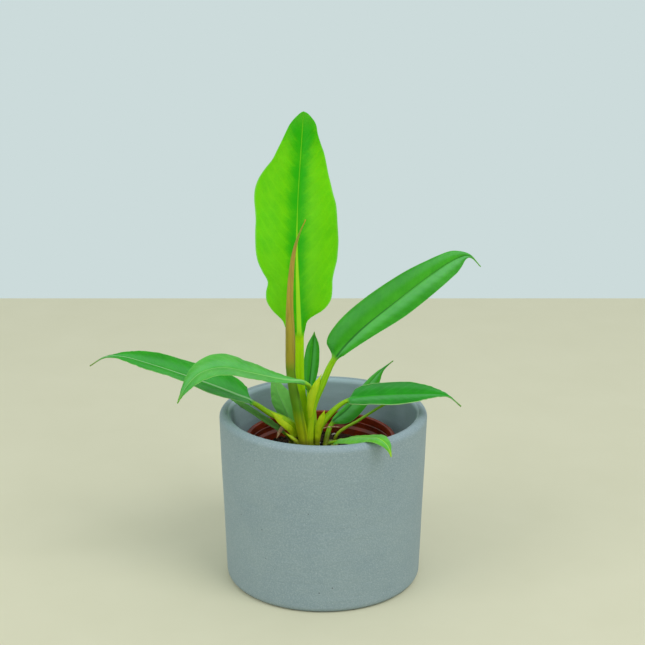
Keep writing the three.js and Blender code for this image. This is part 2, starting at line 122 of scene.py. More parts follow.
class Spine:
    """A smooth line through points (a centripetal Catmull-Rom curve), walked by its length."""

    STEPS = 24

    def __init__(self, points):
        ends = [2 * points[0] - points[1], *points, 2 * points[-1] - points[-2]]
        self.points = []
        for four in zip(ends, ends[1:], ends[2:], ends[3:]):
            self.points += [self.span(*four, k / self.STEPS) for k in range(self.STEPS)]
        self.points.append(points[-1].copy())
        self.lengths = [0.0]
        for a, b in zip(self.points, self.points[1:]):
            self.lengths.append(self.lengths[-1] + (b - a).length)
        self.length = self.lengths[-1]

    @staticmethod
    def span(a, b, c, d, t):
        """A point between b and c."""
        ab, bc, cd = ((q - p).length ** 0.5 for p, q in ((a, b), (b, c), (c, d)))
        out = ((b - a) / ab - (c - a) / (ab + bc) + (c - b) / bc) * bc
        back = ((c - b) / bc - (d - b) / (bc + cd) + (d - c) / cd) * bc
        return b + out * t + (3 * (c - b) - 2 * out - back) * t**2 + (2 * (b - c) + out + back) * t**3

    def share_of(self, point_number):
        """The share of the length at which one of the given points lies, counted from 0."""
        return self.lengths[point_number * self.STEPS] / self.length

    def at(self, share):
        """The point at a share of the length."""
        want = clamp(share) * self.length
        low, high = 0, len(self.lengths) - 1
        while high - low > 1:
            middle = (low + high) // 2
            if self.lengths[middle] <= want:
                low = middle
            else:
                high = middle
        part = (want - self.lengths[low]) / (self.lengths[high] - self.lengths[low])
        return self.points[low].lerp(self.points[high], part)

    def heading(self, share):
        """The direction in which the line runs there."""
        step = 0.002
        return (self.at(share + step) - self.at(share - step)).normalized()


# ---- Meshes --------------------------

def ring_faces(rows, columns, first=0):
    """Quads of a tube of closed rings, with an n-gon at each end."""
    faces = []
    for r in range(rows - 1):
        for c in range(columns):
            start = first + r * columns
            a, b = start + c, start + (c + 1) % columns
            faces.append((a, b, b + columns, a + columns))
    faces.append(tuple(first + c for c in reversed(range(columns))))
    faces.append(tuple(first + (rows - 1) * columns + c for c in range(columns)))
    return faces


def add_object(name, data):
    """An object that shows a mesh, a light or a camera."""
    thing = bpy.data.objects.new(name, data)
    bpy.context.scene.collection.objects.link(thing)
    return thing


class Shape:
    """A mesh in the making: its points, its faces, and numbers that materials read at each point."""

    def __init__(self):
        self.points, self.faces, self.notes = [], [], {}

    def add_point(self, place, **notes):
        """A point with its notes. A note that it doesn't have is 0."""
        for name, value in notes.items():
            self.notes.setdefault(name, [0.0] * len(self.points)).append(value)
        self.points.append(place)
        for values in self.notes.values():
            values.extend([0.0] * (len(self.points) - len(values)))

    def add_rings(self, rings, notes=None):
        """Closed rings of points, each joined to the next. notes is one dict for each point."""
        first = len(self.points)
        for r, ring in enumerate(rings):
            for c, place in enumerate(ring):
                self.add_point(place, **(notes[r][c] if notes else {}))
        self.faces += ring_faces(len(rings), len(rings[0]), first)

    def piece(self, name, material, slot, stands_for=(), sharp=None):
        """Makes the object, lets it ride on the root body and hides the CAD nodes it stands for."""
        mesh = bpy.data.meshes.new(name)
        mesh.from_pydata(self.points, [], self.faces)
        for note, values in self.notes.items():
            mesh.attributes.new(note, "FLOAT", "POINT").data.foreach_set("value", values)
        mesh.polygons.foreach_set("use_smooth", [True] * len(mesh.polygons))
        if sharp is not None:
            mesh.set_sharp_from_angle(angle=math.radians(sharp))
        mesh.materials.append(material)
        mesh.update()
        thing = add_object(name, mesh)
        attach(thing, "root")
        if stands_for:
            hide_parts(*stands_for)
        return thing


# ---- Materials -----------------------

def paint(*chart):
    """A linear colour from the red, green and blue, 0 to 255, that a paint chart gives."""
    shares = (value / 255 for value in chart)
    return tuple(v / 12.92 if v < 0.04045 else ((v + 0.055) / 1.055) ** 2.4 for v in shares)


class Wire:
    """An output of a node. Arithmetic on it adds Math nodes."""

    def __init__(self, nodes, socket):
        self.nodes, self.socket = nodes, socket

    def maths(self, operation, *values):
        return self.nodes.node("ShaderNodeMath", {"operation": operation}, dict(enumerate(values)))

    def __add__(self, other):
        return self.maths("ADD", self, other)

    def __sub__(self, other):
        return self.maths("SUBTRACT", self, other)

    def __rsub__(self, other):
        return self.maths("SUBTRACT", other, self)

    def __mul__(self, other):
        return self.maths("MULTIPLY", self, other)

    def __truediv__(self, other):
        return self.maths("DIVIDE", self, other)

    def __pow__(self, other):
        return self.maths("POWER", self, other)

    __radd__ = __add__
    __rmul__ = __mul__

    def wave(self):
        """A wave between 0 and 1 that is 1 at every whole number."""
        return self.maths("COSINE", self * (2 * math.pi)) * 0.5 + 0.5

    def step(self, low, high):
        """0 at low, 1 at high, smooth between. low may be the larger one."""
        settings = {"interpolation_type": "SMOOTHSTEP"}
        inputs = {"Value": self, "From Min": low, "From Max": high}
        return self.nodes.node("ShaderNodeMapRange", settings, inputs)


class Nodes:
    """A node tree, whose sockets take wires or plain values."""

    def __init__(self, tree):
        self.tree = tree

    def node(self, kind, settings, inputs, output=0):
        """Adds a node, with its settings first and then its inputs, and gives one of its outputs."""
        made = self.tree.nodes.new(kind)
        for name, value in settings.items():
            if name == "stops":
                self.set_stops(made.color_ramp, value)
            else:
                setattr(made, name, value)
        for name, value in inputs.items():
            self.plug(made.inputs[name], value)
        return Wire(self, made.outputs[output])

    def plug(self, socket, value):
        if isinstance(value, Wire):
            self.tree.links.new(value.socket, socket)
        elif isinstance(value, tuple) and len(value) == 3 and socket.type == "RGBA":
            socket.default_value = (*value, 1)
        else:
            socket.default_value = value

    @staticmethod
    def set_stops(ramp, stops):
        for stop, (place, colour) in zip(ramp.elements, (stops[0], stops[-1])):
            stop.position, stop.color = place, (*colour, 1)
        for place, colour in stops[1:-1]:
            ramp.elements.new(place).color = (*colour, 1)

    def ramp(self, share, stops):
        """A colour that follows stops of (share, colour)."""
        return self.node("ShaderNodeValToRGB", {"stops": stops}, {0: share})


class Finish(Nodes):
    """A material with one Principled shader."""

    def __init__(self, name, **constants):
        self.material = bpy.data.materials.new(name)
        self.material.use_nodes = True
        super().__init__(self.material.node_tree)
        self.shader = self.tree.nodes["Principled BSDF"]
        for socket, value in constants.items():
            self.shader.inputs[socket.replace("_", " ")].default_value = value

    def note(self, name):
        """A number that the mesh keeps for each of its points."""
        return self.node("ShaderNodeAttribute", {"attribute_name": name}, {}, "Fac")

    def place(self):
        return self.node("ShaderNodeTexCoord", {}, {}, "Object")

    def height(self):
        return self.node("ShaderNodeSeparateXYZ", {}, {0: self.place()}, "Z")

    def stretched(self, *scales):
        """Places with each axis scaled, for streaks."""
        settings = {"operation": "MULTIPLY"}
        return self.node("ShaderNodeVectorMath", settings, {0: self.place(), 1: scales})

    def cloud(self, size_mm, detail=3.0, roughness=0.55, where=None):
        """Noise whose blotches are about size_mm across, from 0 to 1."""
        inputs = {"Vector": where or self.place(), "Scale": 1000 / size_mm}
        inputs |= {"Detail": detail, "Roughness": roughness}
        return self.node("ShaderNodeTexNoise", {}, inputs)

    def grains(self, size_mm):
        """Distance to the nearest of many scattered points that are about size_mm apart."""
        inputs = {"Vector": self.place(), "Scale": 1000 / size_mm}
        return self.node("ShaderNodeTexVoronoi", {}, inputs, "Distance")

    def soil_stain(self):
        """1 near the soil, 0 from about 14 mm over it, with a ragged edge."""
        ragged = 2.5 * MM * (self.cloud(2, 3) - 0.5)
        return (self.height() + ragged).step(SOIL_Z + 14.5 * MM, SOIL_Z + 9.5 * MM)

    def mix(self, share, first, second):
        """The first colour where share is 0, the second where it is 1."""
        # A Mix node has a socket for each type of value. 6, 7 and 2 are its colours.
        inputs = {0: share, 6: first, 7: second}
        return self.node("ShaderNodeMix", {"data_type": "RGBA"}, inputs, 2)

    def bump(self, height, depth_mm, below=None):
        """A normal from a height of 0 to 1, over another normal where below is given."""
        inputs = {"Height": height, "Distance": depth_mm * MM, "Strength": 1.0}
        if below:
            inputs["Normal"] = below
        return self.node("ShaderNodeBump", {}, inputs)

    def done(self, colour, roughness, normal=None):
        self.plug(self.shader.inputs["Base Color"], colour)
        self.plug(self.shader.inputs["Roughness"], roughness)
        if normal:
            self.plug(self.shader.inputs["Normal"], normal)
        return self.material


def stoneware():
    """Grey stoneware: fine grit, pale specks, a few iron spots, and a smoother inside, painted paler as
    painted light on its shaded wall.
    """
    f = Finish("satin stoneware", Specular_IOR_Level=0.45)
    inside = f.note("inside")
    clouds = f.cloud(26, 4)
    grit = f.cloud(0.9, 2)
    base = f.mix(clouds.step(0.3, 0.75), paint(136, 155, 163), paint(142, 160, 166))
    base = f.mix(grit.step(0.42, 0.66) * 0.5, base, paint(164, 180, 186))
    pale = f.grains(1.5).step(0.24, 0.12) * f.cloud(4, 1).step(0.4, 0.58)
    base = f.mix(pale * 0.6, base, paint(178, 191, 194))
    iron = f.grains(9).step(0.062, 0.04) * f.cloud(14, 1).step(0.5, 0.58)
    base = f.mix(iron * 0.75, base, paint(70, 72, 70))
    # Painted light: the inside is painted paler to lift the shade on the inner wall.
    base = f.mix(inside * 0.75, base, paint(170, 192, 202))
    rough = 0.56 - 0.3 * inside + 0.12 * grit
    skin = f.bump(grit * 0.6 + f.cloud(0.45, 1) * 0.4, 0.12)
    throwing = f.cloud(9, 2, where=f.stretched(0.25, 0.25, 1.6))
    return f.done(base, rough, f.bump(throwing, 0.35, skin))


def nursery_plastic():
    """Thin brick-red moulded plastic with pale streaks painted on as highlights, and dirt inside."""
    f = Finish("nursery pot plastic", Specular_IOR_Level=0.5)
    clouds = f.cloud(14, 4)
    base = f.mix(clouds.step(0.3, 0.7), paint(126, 34, 6), paint(148, 48, 14))
    # Painted highlights: pale streaks round the pot.
    painted_highlights = f.cloud(3, 5, 0.7, f.stretched(0.5, 0.5, 2.5)).step(0.56, 0.7)
    base = f.mix(painted_highlights * 0.35, base, paint(186, 120, 92))
    dust = f.note("inside") * f.cloud(6, 4).step(0.4, 0.62)
    base = f.mix(dust * 0.4, base, paint(74, 46, 34))
    rough = 0.22 + 0.16 * clouds + 0.2 * painted_highlights
    return f.done(base, rough, f.bump(f.cloud(0.9, 2), 0.06))


def peat():
    """Damp dark potting mix."""
    f = Finish("potting mix", Specular_IOR_Level=0.3)
    lumps = f.cloud(2.6, 5, 0.65)
    fibre = f.cloud(1.4, 4, 0.6, f.stretched(1, 0.3, 1))
    base = f.mix(lumps.step(0.35, 0.7), paint(34, 22, 16), paint(78, 56, 40))
    base = f.mix(fibre.step(0.6, 0.72) * 0.6, base, paint(124, 94, 66))
    return f.done(base, 0.85 + 0.1 * lumps, f.bump(lumps + fibre * 0.5, 0.9))


def pumice():
    """Pale porous perlite and grit."""
    f = Finish("perlite grit", Specular_IOR_Level=0.35)
    pores = f.grains(0.7).step(0.1, 0.45)
    base = f.mix(pores, paint(140, 134, 122), paint(216, 212, 200))
    base = f.mix(f.cloud(3, 3).step(0.5, 0.7) * 0.6, base, paint(120, 98, 78))
    return f.done(base, 0.85, f.bump(pores, 0.25))


def dry_papery():
    """A dry sheath: streaked along its length, with freckles."""
    f = Finish("withered sheath", Specular_IOR_Level=0.35)
    streaks = f.cloud(1.6, 4, 0.6, f.stretched(1, 1, 0.12))
    base = f.mix(streaks.step(0.35, 0.68), paint(150, 112, 62), paint(222, 190, 150))
    freckles = f.grains(2.4).step(0.16, 0.08)
    base = f.mix(freckles * 0.5, base, paint(86, 52, 30))
    return f.done(base, 0.6, f.bump(streaks, 0.2))


def stem_green():
    """Short ringed stems: pale green, browner at the soil."""
    f = Finish("young stem", Specular_IOR_Level=0.4)
    streaks = f.cloud(2, 3, 0.5, f.stretched(1, 1, 0.2))
    buried = f.height().step(SOIL_Z + 7 * MM, SOIL_Z + 0.5 * MM)
    base = f.mix(streaks.step(0.3, 0.7), paint(128, 146, 36), paint(170, 180, 74))
    base = f.mix(buried * 0.8, base, paint(108, 84, 48))
    return f.done(base, 0.5, f.bump(streaks, 0.15))


def spear_skin():
    """The rolled leaf: yellow-green foot, olive stalk, golden brown sheath and orange tip."""
    f = Finish("rolled leaf in its sheath", Specular_IOR_Level=0.45)
    streaks = f.cloud(1.3, 4, 0.6, f.stretched(1, 1, 0.07))
    run = f.note("run") + (streaks - 0.5) * 0.05
    stops = [
        (0.0, paint(200, 212, 30)), (0.12, paint(176, 196, 6)),
        (0.20, paint(100, 154, 0)), (0.36, paint(108, 146, 0)),
        (0.41, paint(160, 144, 20)), (0.56, paint(170, 152, 40)),
        (0.70, paint(184, 152, 56)), (0.88, paint(176, 146, 56)),
        (0.95, paint(132, 176, 20)), (1.0, paint(214, 118, 20)),
    ]
    base = f.ramp(run, stops)
    ripe = f.note("run").step(0.36, 0.44)
    streak_colour = f.mix(ripe, paint(66, 116, 0), paint(104, 84, 24))
    base = f.mix(streaks.step(0.45, 0.7) * (0.15 + 0.2 * ripe), base, streak_colour)
    seam_colour = f.mix(ripe, paint(60, 96, 0), paint(98, 66, 26))
    base = f.mix(f.note("seam") * 0.5, base, seam_colour)
    freckles = f.grains(1.9).step(0.14, 0.07) * f.note("run").step(0.3, 0.4)
    base = f.mix(freckles * 0.45, base, paint(110, 62, 30))
    base = f.mix(f.soil_stain() * 0.7, base, paint(104, 98, 30))
    return f.done(base, 0.46, f.bump(streaks, 0.18))


def leaf_skin(name, colours, vein_gap, gloss=0.3, centre=0.0, vein_strength=0.5,
              rib_half=0.6, rib_top=0.4, rib_fade=0.0, rim=0.2, sheen_strength=0.3):
    """A waxy leaf. colours are in the order of GREENS and vein_gap is in mm.

    centre is how much painted shade deepens the green in the crease beside the rib, against the
    margins; below 0 it paints a sheen there instead. rib_half is the half width of the coloured
    rib in mm, rib_top the share of it left at the tip, and rib_fade how far its colour fades on the
    way. rim is how pale the margin is, and the last argument how strong the painted sheen is.
    """
    deep, light, rib, under, stalk, foot, tip = colours
    f = Finish(name, Specular_IOR_Level=gloss, Subsurface_Weight=0.1,
               Subsurface_Radius=(0.4, 1.0, 0.1), Subsurface_Scale=1.5 * MM)
    across, reach, run, share = f.note("across"), f.note("reach"), f.note("run"), f.note("share")
    flank = f.note("flank")
    below, blade = f.note("below"), f.note("blade")
    drift = f.cloud(12, 3)
    fine = f.cloud(1.2, 2)
    # Side veins leave the rib at a slant and bend towards the tip, with finer ones between.
    slant = (run - across * (0.75 + 0.55 * reach)) / vein_gap + drift * 0.8
    veins = slant.wave() ** 5
    small = (slant * 5 + fine / math.pi).wave() ** 3
    away = reach.step(0.02, 0.2) * reach.step(1.0, 0.8)
    tone = drift * 0.75 + 0.02 + fine * 0.2 + (veins * 0.12 - small * 0.06) * away * vein_strength
    # centre paints shade in the crease beside the rib where above 0, and a sheen where below 0.
    tone = tone + centre * (across.step(1.0, 11.0) - 0.55) - 0.35 * share.step(0.78, 0.97)
    base = f.mix(tone.step(0.05, 0.95), deep, light)
    # Painted sheen: a pale band beside the rib on one flank, a weaker one near the other's margin.
    band = flank * reach.step(0.0, 0.15) * reach.step(0.72, 0.3)
    band = band + 0.5 * (1 - flank) * reach.step(0.3, 0.62) * reach.step(1.0, 0.8)
    painted_sheen = band * (0.5 + 0.7 * f.cloud(22, 2)) * (1 - below)
    base = f.mix(painted_sheen * sheen_strength, base, paint(122, 204, 136))
    base = f.mix(below * 0.8, base, under)
    width = rib_half * (rib_top + share.step(0.62, 0.0))
    on_rib = (across / width).step(1.35, 0.75) * blade
    base = f.mix(on_rib * (0.85 - rib_fade * share.step(0.3, 0.6)), base, rib)
    base = f.mix(reach.step(0.95, 0.99) * blade * rim, base, paint(176, 214, 140))
    base = f.mix(share.step(0.9, 0.995) * 0.8, base, tip)
    streaks = f.cloud(1.5, 3, 0.5, f.stretched(1, 1, 0.12))
    stem = f.mix(f.note("climb").step(0.05, 0.6), foot, stalk)
    stem = f.mix(streaks.step(0.45, 0.75) * 0.25, stem, light)
    stem = f.mix(f.soil_stain() * 0.7, stem, paint(104, 98, 30))
    base = f.mix(blade, stem, base)
    rough = 0.42 + 0.14 * drift + 0.16 * below - 0.06 * veins
    relief = (veins * -0.4 - small * 0.16) * away * vein_strength
    relief = relief + fine * 0.14 + streaks * (1 - blade) * 0.3
    return f.done(base, rough, f.bump(relief, 0.2))


# ---- Pots and soil -------------------

def arc(radius, height, size, start, end, steps):
    """Profile points of an arc, from one angle to another in degrees."""
    turn = [math.radians(start + (end - start) * i / steps) for i in range(steps + 1)]
    return [(radius + size * math.cos(a), height + size * math.sin(a)) for a in turn]


def straight(first, last, steps):
    """Profile points between two others, without either."""
    return [tuple(blend(a, b, i / steps) for a, b in zip(first, last)) for i in range(1, steps)]


def turned(profile, facets, wobble, inside_from, centre_x=0.0):
    """A profile of (radius, z) turned about an upright axis, uneven by about wobble. The points
    from number inside_from on are noted as the inside."""
    rings, notes = [], []
    for number, (radius, z) in enumerate(profile):
        ring = []
        for a in circle(facets):
            place = Vector((math.cos(a), math.sin(a), z * 18))
            uneven = wobble * noise.noise(place * 1.7) * min(1, radius / (20 * MM))
            ring.append(round_point(a, radius + uneven, z + 0.4 * uneven, centre_x))
        rings.append(ring)
        notes.append([{"inside": float(number >= inside_from)}] * facets)
    shape = Shape()
    shape.add_rings(rings, notes)
    return shape


def cover_pot():
    """The thick pot: a foot ring round a shallow recess, a tapered wall and a full-round rim."""
    lip = WALL / 2
    foot, bowl = 4 * MM, 9 * MM  # radii of the fillets at the foot and inside
    recess, recess_radius, ring_radius = 0.6 * MM, 48 * MM, 50 * MM
    outside = [(AXIS_RADIUS, recess), (recess_radius, recess), (ring_radius, 0.0)]
    outside += straight((ring_radius, 0), (FOOT_RADIUS - foot, 0), 4)
    outside += arc(FOOT_RADIUS - foot, foot, foot, -90, 0, 10)
    outside += straight((FOOT_RADIUS, foot), (RIM_RADIUS, POT_HEIGHT - lip), 60)
    rim = arc(RIM_RADIUS - lip, POT_HEIGHT - lip, lip, 0, 180, 22)
    first_inside = len(outside) + 15  # of the rim's 22 steps, so a little way down its inner side
    floor_radius = FOOT_RADIUS - WALL - bowl
    inside = straight((RIM_RADIUS - WALL, POT_HEIGHT - lip), (FOOT_RADIUS - WALL, FLOOR + bowl), 50)
    inside += arc(floor_radius, FLOOR + bowl, bowl, 0, -90, 12)
    inside += straight((floor_radius, FLOOR), (AXIS_RADIUS, FLOOR), 10) + [(AXIS_RADIUS, FLOOR)]
    shape = turned(outside + rim + inside, 192, 0.22 * MM, first_inside)
    return shape.piece("cover_pot_stoneware", stoneware(), "ceramic", ["ceramic_cover_pot"])


def nursery_pot():
    """The thin pot: lip, rim band with a bead, ledge, tapered wall, floor and drain holes."""
    lip_height, lip_out, step, foot_height = 2 * MM, 1.5 * MM, 1.8 * MM, 2.5 * MM
    low, high, wall = NURSERY_LOW.z, NURSERY_HIGH.z, NURSERY_WALL
    ledge = high - 10.5 * MM
    floor_z = low + foot_height + 1.6 * MM
    base = NURSERY_FOOT_RADIUS
    band = NURSERY_RIM_RADIUS - lip_out - wall  # inside of the rim band, then of the wall under it
    body = band - step
    under = low + foot_height
    outside = [(AXIS_RADIUS, under), (base - 2 * wall, under), (base - 2 * wall, low), (base, low)]
    outside += straight((base, low), (body + wall, ledge - wall), 24)
    outside += [(body + wall, ledge - wall), (band + wall, ledge)]
    outside += straight((band + wall, ledge), (band + wall, high - lip_height), 6)
    outside += [(band + wall, high - lip_height)]
    edge = 0.5 * MM
    rim = [(NURSERY_RIM_RADIUS - 0.3 * MM, high - 0.8 * lip_height)]
    rim += arc(NURSERY_RIM_RADIUS - edge, high - edge, edge, 0, 90, 5)
    rim += arc(band + edge, high - edge, edge, 90, 180, 5)
    bead, bead_z = 0.45 * MM, high - 5.4 * MM
    inside = [(band, bead_z + 1.1 * bead), (band - bead, bead_z + 0.4 * bead)]
    inside += [(band - bead, bead_z - 0.4 * bead), (band, bead_z - 1.1 * bead)]
    inside += [(band, ledge + wall + 0.4 * MM), (band - 0.4 * MM, ledge + wall)]
    inside += [(body + 0.3 * MM, ledge + 0.2 * MM), (body, ledge)]
    inside += straight((body, ledge), (base - wall, floor_z), 24) + [(base - wall, floor_z)]
    inside += straight((base - wall, floor_z), (AXIS_RADIUS, floor_z), 8) + [(AXIS_RADIUS, floor_z)]
    shape = turned(outside + rim + inside, 144, 0.1 * MM, len(outside) + len(rim), NURSERY_X)
    plastic = nursery_plastic()
    pot = shape.piece("nursery_pot_plastic", plastic, "nursery_plastic", ["nursery_pot"], sharp=40)
    cut_drains(pot, foot_height)
    return pot


def cut_drains(pot, foot_height, count=8):
    """Cuts the drain holes in the floor and the notches in the foot ring."""
    hole_radius, hole_inset, hole_depth = 3.5 * MM, 13 * MM, 14 * MM
    notch_depth, notch_width = 13 * MM, 7 * MM
    tools = bmesh.new()
    for turn_angle in circle(count):
        turn = Matrix.Translation((NURSERY_X, 0, NURSERY_LOW.z))
        turn @= Matrix.Rotation(turn_angle, 4, "Z")
        hole = turn @ Matrix.Translation((NURSERY_FOOT_RADIUS - hole_inset, 0, 0))
        size = {"radius1": hole_radius, "radius2": hole_radius, "depth": hole_depth}
        bmesh.ops.create_cone(tools, cap_ends=True, segments=32, matrix=hole, **size)
        notch = turn @ Matrix.Translation((NURSERY_FOOT_RADIUS, 0, 0))
        notch @= Matrix.Diagonal((notch_depth, notch_width, foot_height, 1))
        bmesh.ops.create_cube(tools, size=1, matrix=notch)
    cutter_mesh = bpy.data.meshes.new("drain_cutter")
    tools.to_mesh(cutter_mesh)
    tools.free()
    cutter = add_object("drain_cutter", cutter_mesh)
    cut = pot.modifiers.new("drain holes", "BOOLEAN")
    cut.operation, cut.solver, cut.object = "DIFFERENCE", "EXACT", cutter
    bpy.context.view_layer.update()
    drilled = pot.evaluated_get(bpy.context.evaluated_depsgraph_get())
    mesh = bpy.data.meshes.new_from_object(drilled)
    pot.modifiers.remove(cut)
    pot.data = mesh
    bpy.data.objects.remove(cutter)


MOUND_RADIUS = 46 * MM
CRUMB_RADIUS = 43.5 * MM  # crumbs lie within this of the soil's middle


def soil_height(x, y):
    """Height of the soil's crumbly surface."""
    radius = math.hypot(x - NURSERY_X, y)
    mound = SOIL_MOUND * (1 - (radius / MOUND_RADIUS) ** 2)
    sizes = ((1.1, 130), (0.7, 330), (0.35, 900))  # height of lumps in mm, and how close they are
    lumps = sum(size * noise.noise(Vector((x, y, 0)) * close) for size, close in sizes)
    return SOIL_Z + mound - 0.9 * MM + lumps * MM


def potting_soil():
    """The root ball: a cone inside the nursery pot with a crumbly top."""
    inner, foot = 0.4 * MM, NURSERY_RIM_RADIUS - 14.5 * MM
    profile = [(inner, SOIL_LOW.z), (foot, SOIL_LOW.z)]
    profile += straight((foot, SOIL_LOW.z), (SOIL_RADIUS, SOIL_Z - 2 * MM), 12)
    facets, top_rings = 160, 70
    rings = [[round_point(a, r, z, NURSERY_X) for a in circle(facets)] for r, z in profile]
    for i in range(top_rings + 1):
        radius = max(SOIL_RADIUS - 0.2 * MM - i * (SOIL_RADIUS - inner) / top_rings, inner)
        ring = [(NURSERY_X + radius * math.cos(a), radius * math.sin(a)) for a in circle(facets)]
        rings.append([Vector((x, y, soil_height(x, y))) for x, y in ring])
    shape = Shape()
    shape.add_rings(rings)
    return shape.piece("soil_root_ball", peat(), "soil", ["potting_soil"])


def scatter(name, material, count, sizes, seed):
    """Crumbs of one kind on the soil, sunk a little into it. sizes are the radii in mm."""
    rng = random.Random(seed)
    crumb = bmesh.new()
    bmesh.ops.create_icosphere(crumb, subdivisions=2, radius=1)
    balls = [v.co.copy() for v in crumb.verts]
    faces = [tuple(v.index for v in f.verts) for f in crumb.faces]
    crumb.free()
    shape = Shape()
    for _ in range(count):
        angle, out = rng.uniform(0, 2 * math.pi), CRUMB_RADIUS * math.sqrt(rng.random())
        size = rng.uniform(*sizes) * MM
        turn = Euler([rng.uniform(0, 6.3) for _ in range(3)]).to_matrix()
        squash = Vector((rng.uniform(0.7, 1.3), rng.uniform(0.6, 1.1), rng.uniform(0.5, 0.9)))
        x, y = NURSERY_X + out * math.cos(angle), out * math.sin(angle)
        centre = Vector((x, y, soil_height(x, y) + 0.25 * size))
        first = len(shape.points)
        kind = rng.uniform(0, 100)
        for ball in balls:
            rough = 1 + 0.6 * noise.noise(ball * 1.9 + Vector((kind, 0, 0)))
            shape.add_point(centre + turn @ Vector(b * s * size * rough for b, s in zip(ball, squash)))
        shape.faces += [tuple(first + i for i in face) for face in faces]
    return shape.piece(name, material, "soil")


# ---- Stems, new leaf and dry scraps --

def round_stem(name, material, x, y, top, top_radius, foot_radius):
    """A short stem with leaf-scar rings and a rounded top. Sizes and places in mm."""
    facets, steps = 40, 46
    buried, ring_gap, ring_rise = 16, 3.1, 0.28
    cap_start, cap_narrower, cap_lower = 0.84, 0.45, 0.2  # the rounded top, as shares
    rings = []
    for i in range(steps + 1):
        share = i / steps
        height = blend(-buried, top, share)
        radius = blend(foot_radius, top_radius, share)
        radius += ring_rise * max(0, math.cos(height * 2 * math.pi / ring_gap)) ** 6
        cap = ease(share, cap_start, 1.0)
        radius *= 1 - cap_narrower * cap**2
        ring = []
        for a in circle(facets):
            place = Vector((math.cos(a) * 1.5, math.sin(a) * 1.5, height * 0.4))
            r = radius * (1 + 0.03 * noise.noise(place))
            z = height - cap_lower * radius * cap
            ring.append(near(x + r * math.cos(a), y + r * math.sin(a), z))
        rings.append(ring)
    shape = Shape()
    shape.add_rings(rings)
    return shape.piece(name + "_living", material, "stem", [name])


# The spear's points from the crown and its radii along the way, in mm.
SPEAR_POINTS = [(-2.6, -3.2, 3), (-3.4, -3.6, 13), (-7.2, -4.1, 33), (-11.6, -4, 58), (-12, -3, 82),
                (-12, -2, 110), (-10, -1, 137), (-7, -2, 151), (-1.4, -4, 165)]
SPEAR_RADII = [3.2, 3.6, 3.3, 2.9, 2.8, 2.4, 1.9, 1.1, 0.25]


def rolled_leaf():
    """The new leaf rolled up: its free edge winds round it as a raised seam."""
    spine = Spine([near(*point) for point in SPEAR_POINTS])
    facets, steps = 36, 150
    seam_start, seam_end, seam_rise = 20, 150, 0.13  # degrees round the spear, and of its radius
    sheath_rise = 0.10  # of its radius
    rings, notes = [], []
    for i in range(steps + 1):
        share = i / steps
        heading = spine.heading(share)
        side = (Vector((1, 0, 0)) - heading * heading.x).normalized()
        face = side.cross(heading)
        radius = along_list(SPEAR_RADII, share) * MM
        seam = math.radians(blend(seam_start, seam_end, share))
        sheath = 1 + sheath_rise * ease(share, 0.36, 0.38) * ease(share, 0.66, 0.5)
        ring, note = [], []
        for a in circle(facets):
            behind = (a - seam) % (2 * math.pi)
            step = math.exp(-behind / 0.5) * ease(behind, 0.0, 0.12)
            uneven = 0.12 * MM * noise.noise(Vector((a * 1.2, share * 26, 0)))
            r = radius * sheath * (1 + seam_rise * step) + uneven
            ring.append(spine.at(share) + face * r * math.cos(a) + side * r * math.sin(a))
            from_seam = min(behind, 2 * math.pi - behind)
            note.append({"run": share, "seam": ease(0.35 - from_seam, 0, 0.3)})
        rings.append(ring)
        notes.append(note)
    shape = Shape()
    shape.add_rings(rings, notes)
    return shape.piece("rolled_leaf_spear", spear_skin(), "dry_sheath", ["rolled_new_leaf"])


def strip(shape, points, widths, face, curl, thickness=0.35, steps=40, columns=9):
    """A thin curled strip: papery scraps and the free edges of sheaths.

    Points are from the crown. Half widths and thickness are in mm, and curl is half the angle
    round which its section bends, in radians.
    """
    spine = Spine([near(*point) for point in points])
    rings = []
    for i in range(steps + 1):
        share = i / steps
        heading = spine.heading(share)
        out = (Vector(face) - heading * heading.dot(Vector(face))).normalized()
        side = heading.cross(out)
        half = max(along_list(widths, share), 0.15)
        over, under = [], []
        for c in range(columns):
            q = -1 + 2 * c / (columns - 1)
            turn = q * curl
            crinkle = 0.25 * noise.noise(Vector((q, share * 7, half)))
            lift = half * (math.cos(turn) - 1) / curl + crinkle
            place = spine.at(share) + side * (half * math.sin(turn) / curl) * MM
            over.append(place + out * (lift + thickness / 2) * MM)
            under.append(place + out * (lift - thickness / 2) * MM)
        rings.append(over + under[::-1])
    shape.add_rings(rings)


def dry_scraps():
    """The withered sheath at the crown's left, in two lengths, and a dry thread at the right."""
    shape = Shape()
    upper = [(-8.5, -1, 9), (-11, -2, 15.5), (-15, -3, 19.8), (-18.4, -3.4, 19.6)]
    lower = [(-14.6, -3.2, 19.6), (-17.8, -3.7, 20), (-20, -4.1, 17), (-21.7, -4.4, 12.8)]
    strip(shape, upper, [1.6, 2.0, 1.5, 0.3], (0, -1, 0.4), 1.1)
    strip(shape, lower, [1.2, 1.6, 1.2, 0.2], (-0.2, -1, 0.3), 1.0)
    thread = [(9.8, -5, 20.5), (13, -7, 22.2), (17, -8, 22.8), (22, -8, 22.4)]
    strip(shape, thread, [0.4, 0.45, 0.4, 0.15], (0, -1, 0.5), 1.2, 0.5)
    return shape.piece("withered_sheath", dry_papery(), "dry_sheath", ["dried_sheath"])


# ---- Leaves --------------------------

